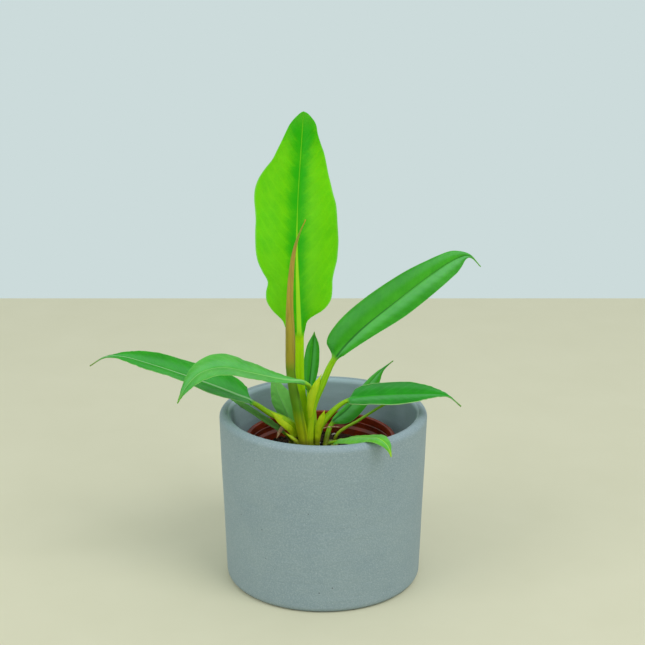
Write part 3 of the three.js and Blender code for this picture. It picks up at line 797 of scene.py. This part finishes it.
STALK_STEPS = 30
BLADE_STEPS = 84
COLUMNS = 27
BLADE_SPREAD = 0.06  # share of the blade over which the stalk opens out into it
RIB_JOIN = 0.14  # share of the blade over which the stalk's oval turns into the rib
MARGIN_LEAD = 0.35  # of a wave, by which the left margin runs ahead of the right one
QUILT = 0.16  # how high the blade swells between side veins, in mm
CREASES = 0.45  # height of the uneven creases at the margins, in mm
RIB_HALF = 1.9, 0.5  # the rib's half width in mm, at the blade's start and at its tip
RIB_UNDER = 1.3, 0.2  # how far it stands out underneath, likewise
GROOVE = 0.25  # share of the stalk's thickness that its groove takes
BLADE_HALF, MARGIN_HALF, STALK_HALF = 0.4, 0.16, 0.03  # half the sheet's thickness, in mm


class Leaf:
    """One leaf as a closed mesh, stalk and blade in one.

    stalk and blade are its points. In mm, wide and round are the stalk's half width and half
    thickness, left and right the blade's half widths (right is left's where it isn't given),
    ripple the height of the margin's waves, rib how far the rib rises and vein_gap the distance
    between side veins. fold is the angle in degrees at which the halves rise from the rib, arch
    how much they droop again, waves the number of waves along a margin, blunt the share of the
    blade that its rounded tip takes, and facing the way the upper side turns, first along the
    stalk and then at the tip.
    """

    HABIT = {"vein_gap": 7.0, "blunt": 0, "rib": [0.1, -0.25, -0.2]}

    def __init__(self, spec):
        self.spec = self.HABIT | {"right": spec["left"]} | spec
        self.spine = Spine(spec["stalk"] + spec["blade"])
        self.joint = self.spine.share_of(len(spec["stalk"]))

    def station(self, u):
        """What every point of the section at share u of the spine needs."""
        spec = self.spec
        climb, share = clamp(u / self.joint), max(0.0, (u - self.joint) / (1 - self.joint))
        heading = self.spine.heading(u)
        face = Vector(spec["facing"][0]).lerp(Vector(spec["facing"][1]), share)
        face = (face - heading * face.dot(heading)).normalized()
        return {
            "share": share,
            "climb": climb,
            "spread": ease(share, 0, BLADE_SPREAD),
            "at": self.spine.at(u),
            "face": face,
            "side": heading.cross(face),
            "run": (u - self.joint) * self.spine.length / MM,
        }

    def half_width(self, s, left):
        """Half the width in mm, of the stalk or of one side of the blade."""
        stalk = along_list(self.spec["wide"], s["climb"])
        blade = along_list(self.spec["left" if left else "right"], s["share"])
        blunt = self.spec["blunt"]
        if blunt and s["share"] > 1 - blunt:
            blade *= math.sqrt(max(0, 1 - ((s["share"] - 1 + blunt) / blunt) ** 2))
        return max(blend(stalk, blade, s["spread"]), 0.3)

    def point(self, s, q, under):
        """A point and its notes, at share q of the half width, on the upper or the under side."""
        spec, share, spread = self.spec, s["share"], s["spread"]
        left = q < 0
        half = self.half_width(s, left)
        away = abs(q) * half
        fold = math.radians(along_list(spec["fold"], share)) * spread
        waves = spec["waves"] * share + (MARGIN_LEAD if left else 0)
        swell = math.sin(math.pi * share)
        ripple = spec["ripple"] * math.sin(2 * math.pi * waves) * swell * q * q
        ripple += CREASES * spread * noise.noise(Vector((share * 9, 4 * q, half))) * abs(q) ** 1.5
        phase = 2 * math.pi * (s["run"] - 0.95 * away) / spec["vein_gap"]
        quilt = QUILT * spread * math.cos(phase)
        quilt *= ease(away, 1.5, 5) * ease(1 - abs(q), 0.0, 0.25)
        rise = half * (abs(q) * math.sin(fold) - spec["arch"] * q * q) * spread + ripple + quilt
        # The stalk's oval runs on as the rib, which gets thinner and narrower towards the tip.
        into = ease(share, 0, RIB_JOIN)
        stalk = along_list(spec["round"], s["climb"])
        rib_half = half
        if share > 0:
            rib_half = blend(along_list(spec["wide"], 1), blend(*RIB_HALF, share), into)
        rib_under = blend(stalk, blend(*RIB_UNDER, share), into)
        rib_over = blend(stalk, along_list(spec["rib"], share), into)
        bulge = max(0.0, 1 - (away / rib_half) ** 2) ** blend(0.5, 1.3, into)
        if spread == 0:
            groove = GROOVE * math.exp(-((away / (0.35 * half)) ** 2)) * ease(s["climb"], 0.25, 0.6)
            rib_over *= 1 - groove
        sheet = blend(STALK_HALF, blend(BLADE_HALF, MARGIN_HALF, abs(q) ** 3), spread)
        lift = -sheet - rib_under * bulge if under else sheet + rib_over * bulge
        place = s["at"] + s["side"] * (q * half * math.cos(fold) * MM)
        place += s["face"] * ((rise + lift) * MM)
        notes = {"across": away, "reach": abs(q), "run": s["run"], "share": share, "climb": s["climb"]}
        notes |= {"blade": ease(share, 0.0, 0.035), "below": float(under), "flank": ease(q, -0.08, 0.08)}
        return place, notes

    def shape(self):
        """Rings round the leaf: over the upper side from left to right, and back underneath."""
        rings, notes = [], []
        stations = [self.joint * i / STALK_STEPS for i in range(STALK_STEPS)]
        shares = [1 - (1 - (i / BLADE_STEPS) ** 1.1) ** 1.3 for i in range(BLADE_STEPS + 1)]
        stations += [blend(self.joint, 1, share) for share in shares]
        columns = [-1 + 2 * c / (COLUMNS - 1) for c in range(COLUMNS)]
        for u in stations:
            s = self.station(u)
            flat = ease(s["share"], 0, 0.1)
            ring = []
            for under in (False, True):
                for x in reversed(columns) if under else columns:
                    q = blend(math.sin(x * math.pi / 2), math.copysign(abs(x) ** 1.45, x), flat)
                    ring.append(self.point(s, q, under))
            rings.append([place for place, _ in ring])
            notes.append([note for _, note in ring])
        shape = Shape()
        shape.add_rings(rings, notes)
        return shape


def crown_leaf(stalk, blade, **spec):
    """A leaf whose points are all given from the crown."""
    return {"stalk": [near(*p) for p in stalk], "blade": [near(*p) for p in blade], **spec}


GREENS = {
    # Deep and light green of the blade, its rib and underside, the stalk and its foot, the tip.
    "lime": ((44, 176, 0), (114, 210, 2), (176, 232, 44), (112, 190, 40),
             (166, 218, 2), (200, 228, 24), (84, 184, 30)),
    "fresh": ((28, 144, 0), (70, 182, 26), (30, 112, 30), (104, 184, 60),
              (156, 210, 8), (200, 228, 24), (110, 176, 40)),
    "deep": ((10, 126, 0), (48, 170, 16), (148, 200, 140), (96, 172, 66),
             (156, 202, 14), (198, 226, 24), (126, 146, 60)),
    "level": ((6, 118, 0), (30, 154, 8), (56, 168, 36), (96, 172, 66),
              (156, 206, 10), (198, 226, 24), (110, 150, 60)),
    "pale": ((50, 158, 34), (104, 190, 80), (140, 204, 116), (146, 222, 112),
             (156, 212, 36), (190, 216, 40), (112, 176, 40)),
    "edge": ((64, 158, 24), (118, 200, 56), (156, 214, 70), (130, 196, 80),
             (150, 202, 36), (184, 208, 44), (166, 208, 30)),
}
HABITS = {
    "lime": {"gloss": 0.12, "centre": 0.55, "vein_strength": 0.9, "rib_half": 1.3,
             "rib_top": 0.2, "sheen_strength": 0.04, "rib_fade": 0.5},
    "fresh": {"sheen_strength": 0.42, "gloss": 0.38, "centre": -0.25, "vein_strength": 0.3, "rib_half": 0.45},
    "deep": {"sheen_strength": 0.22, "gloss": 0.28, "rib_half": 0.95, "rim": 0.5},
    "level": {"sheen_strength": 0.26, "gloss": 0.28, "centre": -0.2, "rib_half": 0.4, "rim": 0.8},
}
SKINS = {}


def green(tone, vein_gap):
    """The skin of one tone, made once for each distance between side veins."""
    key = tone, vein_gap
    if key not in SKINS:
        colours = [paint(*colour) for colour in GREENS[tone]]
        habit = HABITS.get(tone, {})
        SKINS[key] = leaf_skin(f"{tone} leaf {vein_gap:g}", colours, vein_gap, **habit)
    return SKINS[key]


LEAVES = {
    "leaf_tall": crown_leaf(
        [(0.4, 0.6, 3), (-0.4, 1.4, 12), (-3.2, 2.6, 31), (-5.8, 5, 52), (-6, 8, 69)],
        [(-6, 9.6, 79.5), (-6.8, 13, 106), (-7.6, 17, 139), (-6.8, 21, 172), (-4.6, 23, 205),
         (-2.8, 22, 231)],
        wide=[2.8, 3.0, 3.1, 3.1, 3.0], round=[2.3, 2.4, 2.4, 2.2, 2.0],
        facing=[(0, -1, 0.1), (0, -1, 0.4)],
        left=[4.0, 9.2, 11.6, 17.8, 21.8, 22.0, 20.4, 23.5, 26.3, 27.6, 27.9, 28,
              27.8, 28.4, 29.2, 29.0, 27.0, 23.2, 18.6, 15.8, 13.0, 10.4, 7.6, 4.5],
        right=[4.2, 4.6, 7.0, 17.6, 22.8, 24.0, 24.2, 25.6, 27.3, 27.9, 28.2, 27.8,
               27.2, 26.6, 25.6, 23.4, 21.4, 19.2, 17.4, 15.4, 12.6, 10.2, 8.8, 6.5],
        fold=[22, 12, 8, 6], arch=0.06, ripple=1.6, waves=2.2, blunt=0.07, tone="lime", vein_gap=9.0,
        rib=[0.8, 0.7, -0.2, -0.35, -0.2],
    ),
    "leaf_upper_right": crown_leaf(
        [(0.8, -3.2, 3), (1.1, -3.8, 13), (1.8, -4.0, 25), (4.4, -4.2, 39), (9.6, -5, 52.5)],
        [(17, -7, 70), (32.5, -11, 90), (56, -16, 112), (79, -20, 132), (95, -24, 144),
         (103, -28, 147), (110, -32, 141)],
        wide=[2.4, 2.3, 2.1, 2.4, 2.3, 2.0], round=[2.2, 2.1, 2.0, 1.8],
        facing=[(0.1, -1, 0.3), (-0.1, -1, 0.5)],
        left=[5, 12.6, 14.8, 15.2, 15.1, 14.8, 14.1, 13, 11.6, 9.8, 8, 5.8, 1.1, 0.3],
        right=[2.4, 4.4, 6.4, 8.2, 9.6, 10.8, 11.6, 11.8, 11.6, 11, 9.9, 7.8, 1.3, 0.3],
        fold=[18, 14, 8], arch=0.05, ripple=1, waves=1.6, tone="fresh",
    ),
    "leaf_level_right": crown_leaf(
        [(4.8, 0, 3), (5.4, -0.5, 11), (8.4, -1.4, 21), (16.6, -2.2, 32)],
        [(26, -4, 40), (38, -8, 44), (55, -12, 47), (71, -16, 49), (84, -19, 50), (93, -22, 49.5),
         (101, -24, 43.5)],
        wide=[2.8, 3.0, 2.4, 1.5], round=[2, 2, 1.8, 1.4], facing=[(-0.1, -0.3, 1), (0, -0.2, 1)],
        left=[7, 11.5, 13.6, 14, 13.4, 11.8, 9.2, 5.6, 1.0, 0.3],
        right=[6, 10.5, 13, 13.6, 13, 11.2, 8.6, 5, 0.9, 0.3],
        fold=[16, 12, 8], arch=0.1, ripple=1, waves=1.5, tone="level",
    ),
    "leaf_arching_left": crown_leaf(
        [(4, 6, 3), (4, 7, 14), (2.4, 5, 37), (1, 0, 47)],
        [(-2, -11, 55), (-19, -24, 62.5), (-37, -36, 71), (-55, -46, 78), (-68, -54, 77),
         (-76, -58, 70), (-82.5, -60, 59)],
        wide=[2.2, 2.2, 2.2, 1.7], round=[2, 2, 1.8, 1.5], facing=[(0.3, -0.4, 1), (-0.6, -0.4, 1)],
        left=[1.6, 2.6, 5.5, 10, 13, 12.8, 10, 5.6, 0.3],
        right=[1.8, 2.6, 6.5, 12, 14.6, 13.8, 10, 5.6, 0.3],
        fold=[18, 14, 10], arch=0.1, ripple=1.2, waves=1.8, tone="pale",
    ),
    "leaf_long_left": crown_leaf(
        [(-6, 3, 3), (-6.5, 2.5, 14), (-12, 0, 22.5), (-26, -4, 31)],
        [(-36, -7.4, 39.2), (-55, -12, 50), (-78, -14, 60), (-104, -16, 70), (-123, -18, 76),
         (-134, -20, 76), (-143, -22, 71)],
        wide=[2.4, 3.2, 2.9, 1.8], round=[2.1, 2.1, 2, 1.6], facing=[(0, -0.2, 1), (-0.2, -0.2, 1)],
        left=[8, 14, 16.5, 17, 16.3, 14, 10.5, 5.6, 1.2, 0.35],
        right=[8.5, 15.2, 17, 17, 16.3, 14.4, 11.2, 6.4, 1.2, 0.35],
        fold=[22, 18, 10], arch=0.1, ripple=1.2, waves=1.8, tone="deep", vein_gap=8.0,
    ),
    "leaf_small_back": crown_leaf(
        [(-1.5, 6.5, 3), (-0.5, 8, 13), (0, 13, 27)],
        [(0, 16, 39), (2, 19, 58), (4, 20, 81)],
        wide=[1.5, 1.5, 1.3], round=[1.4, 1.4, 1.2], facing=[(0, -1, 0.3), (0, -1, 0.4)],
        left=[2, 4.6, 5.7, 5.5, 4, 0.3], right=[2, 4.4, 5.4, 5.2, 4, 0.3],
        fold=[25, 15], arch=0, ripple=0.4, waves=1, tone="fresh",
    ),
    "leaf_right_back": crown_leaf(
        [(11.2, 3.2, 3), (12.6, 6.6, 10)],
        [(16, 12.6, 17), (27, 18, 26), (38.5, 22, 39), (48, 24, 50), (58, 24, 59)],
        wide=[1.8, 1.8, 1.5], round=[1.6, 1.6, 1.3], facing=[(-0.4, -1, 0.8), (-0.5, -1, 0.8)],
        left=[2, 3.5, 4, 4, 3.6, 2.6, 1, 0.3], right=[3, 8, 9, 8.4, 7, 4.4, 1, 0.3],
        fold=[10, -20], arch=0.2, ripple=0.6, waves=1.2, tone="fresh",
    ),
    "leaf_thin_right": crown_leaf(
        [(17, 4.5, 4), (20, 2, 14), (35, 0, 25)],
        [(52, -2, 37), (62, -2, 41), (72, -3, 43), (80, -4, 43)],
        wide=[1.2, 1, 0.9], round=[1.1, 1, 0.9], facing=[(-0.3, 0, 1), (0, -0.1, 1)],
        left=[2, 5, 7, 6, 3.5, 0.3], fold=[12, 8], arch=0, ripple=0.3, waves=1, tone="pale",
    ),
    "leaf_over_rim": {
        "stalk": [near(14.5, 0.5, 4), near(14, -7, 10)],
        "blade": [near(20, -18, 16.5), past(-57.7, -34.5, -9), past(-59.9, -12, -0.8),
                  past(-59.9, 1.7, 3.0), past(-59, 9, 0.5), past(-58.4, 12, -6)],
        "wide": [1.5, 1.4, 1.3], "round": [1.3, 1.2, 1.1],
        "facing": [(0, -0.2, 1), (0.3, -0.6, 0.7)], "left": [4, 9.5, 11, 11, 9.6, 7, 4, 0.3],
        "fold": [4, 3], "arch": 0.16, "ripple": 0.6, "waves": 1.4, "tone": "edge",
    },
    "leaf_left_back": crown_leaf(
        [(-9, 11, 4), (-8.5, 12.5, 9)],
        [(-9.5, 13, 14), (-16.5, 16, 29), (-22, 18, 42), (-23.5, 18, 53)],
        wide=[1.5, 1.4, 1.3], round=[1.3, 1.2, 1.1], facing=[(0.3, 1, 0.1), (0.3, 1, 0.2)],
        left=[2.5, 7, 9, 9, 6, 3, 0.3], fold=[12, 8], arch=0, ripple=0.5, waves=1, tone="pale",
    ),
    "leaf_low_left": crown_leaf(
        [(-11, 9, 4), (-12.5, 7, 8)],
        [(-17, 4, 14), (-32, 2, 25), (-46, 0, 36), (-58, -2, 46)],
        wide=[1.3, 1.2, 1.1], round=[1.2, 1.1, 1.0], facing=[(0.2, 0.5, 0.85), (0.2, 0.5, 0.85)],
        left=[2, 6, 8, 8, 6, 3, 0.3], fold=[10, 6], arch=0, ripple=0.5, waves=1, tone="pale",
    ),
}

# Free edges of the sheaths at the stalks' feet: points, half widths, and the way they face.
SHEATHS = {
    "leaf_upper_right": [
        ([(1.6, -4.6, 17), (1.6, -5.5, 25), (1.2, -6.3, 34), (2.3, -6.7, 44), (5.4, -6.8, 52.5),
          (9.0, -7, 60)],
         [0.5, 1.2, 2.2, 3.0, 2.3, 0.15], (-0.2, -1, 0.2)),
    ],
    "leaf_level_right": [
        ([(5.9, -3.2, 8), (6.4, -4.0, 15), (7.3, -4.5, 21), (9.1, -4.8, 27), (11.0, -4.8, 33.5)],
         [1.8, 2.2, 2.8, 2.5, 0.15], (0.1, -1, 0.3)),
    ],
    "leaf_long_left": [
        ([(-7.6, -0.5, 13), (-11.5, -3.4, 20.5), (-18, -5.2, 26.5), (-25.8, -6, 33)],
         [3.2, 3.7, 3.0, 0.15], (0.2, -0.9, 0.7)),
        ([(-4, -4.2, 7), (-8, -4.6, 11), (-12, -4.2, 14), (-15.4, -3.8, 16.6)],
         [0.9, 1.3, 1.2, 0.15], (0, -1, 0.5)),
    ],
}


# ---- Put everything together ---------

def studio():
    """A pale floor, a large soft light at the front right, a weaker one at the left, a pale wall."""
    side, front, back = 3, -3, 0.665
    mesh = bpy.data.meshes.new("floor")
    corners = [(-side, front, 0), (side, front, 0), (side, back, 0), (-side, back, 0)]
    mesh.from_pydata(corners, [], [(0, 1, 2, 3)])
    floor = add_object("floor", mesh)
    f = Finish("pale floor", Specular_IOR_Level=0.3)
    shade = f.cloud(60, 3)
    colour = f.mix(shade, paint(214, 210, 182), paint(220, 216, 190))
    mesh.materials.append(f.done(colour, 0.6 + 0.1 * shade))
    # The wall is the world's own colour, slightly greyer higher up.
    world = bpy.data.worlds.new("room")
    bpy.context.scene.world = world
    world.use_nodes = True
    room = Nodes(world.node_tree)
    heading = room.node("ShaderNodeTexCoord", {}, {}, "Generated")
    height = room.node("ShaderNodeSeparateXYZ", {}, {0: heading}, "Z")
    wall = room.ramp(height, [(0.0, paint(204, 219, 219)), (0.12, (0.60, 0.66, 0.65))])
    room.plug(room.tree.nodes["Background"].inputs["Color"], wall)
    aim = Vector((0, 0, 0.15))
    lamps = (("key", (1.0, -1.0, 1.9), 1.3, 19), ("fill", (-1.4, -0.9, 1.3), 1.3, 8))
    for name, place, size, watts in lamps:
        lamp = bpy.data.lights.new(name, "AREA")
        lamp.shape, lamp.size, lamp.energy = "DISK", size, watts
        holder = add_object(name, lamp)
        holder.location = place
        holder.rotation_euler = (Vector(place) - aim).to_track_quat("Z", "Y").to_euler()


def camera():
    """A long lens at the front, looking down."""
    left, back, height, tilt = 0.47 * MM, 0.94772, 0.47487, 17.33
    lens = bpy.data.cameras.new("camera")
    lens.sensor_width, lens.lens = 36, 83.72
    eye = add_object("camera", lens)
    eye.location = (-left, -back, height)
    eye.rotation_euler = (math.radians(90 - tilt), 0, 0)
    bpy.context.scene.camera = eye


camera()
studio()
bpy.context.scene.view_settings.view_transform = "Standard"

cover_pot()
nursery_pot()
potting_soil()
scatter("soil_crumbs", peat(), count=520, sizes=(0.6, 2.0), seed=7)
scatter("perlite_bits", pumice(), count=60, sizes=(0.5, 1.5), seed=11)

stem_skin = stem_green()
round_stem("main_stem", stem_skin, 0, 1, 8.6, 8.0, 7.6)
round_stem("right_stem", stem_skin, 15.3, 4.5, 8, 5.2, 4.5)
round_stem("left_stem", stem_skin, -10, 10.6, 7, 3.9, 3.4)
rolled_leaf()
dry_scraps()

for leaf_name, spec in LEAVES.items():
    leaf = Leaf(spec)
    shape = leaf.shape()
    for path, widths, facing in SHEATHS.get(leaf_name, []):
        strip(shape, path, widths, facing, curl=0.7, thickness=0.25, steps=60, columns=13)
    skin = green(spec["tone"], leaf.spec["vein_gap"])
    shape.piece(leaf_name + "_living", skin, "leaf", [leaf_name], sharp=50)
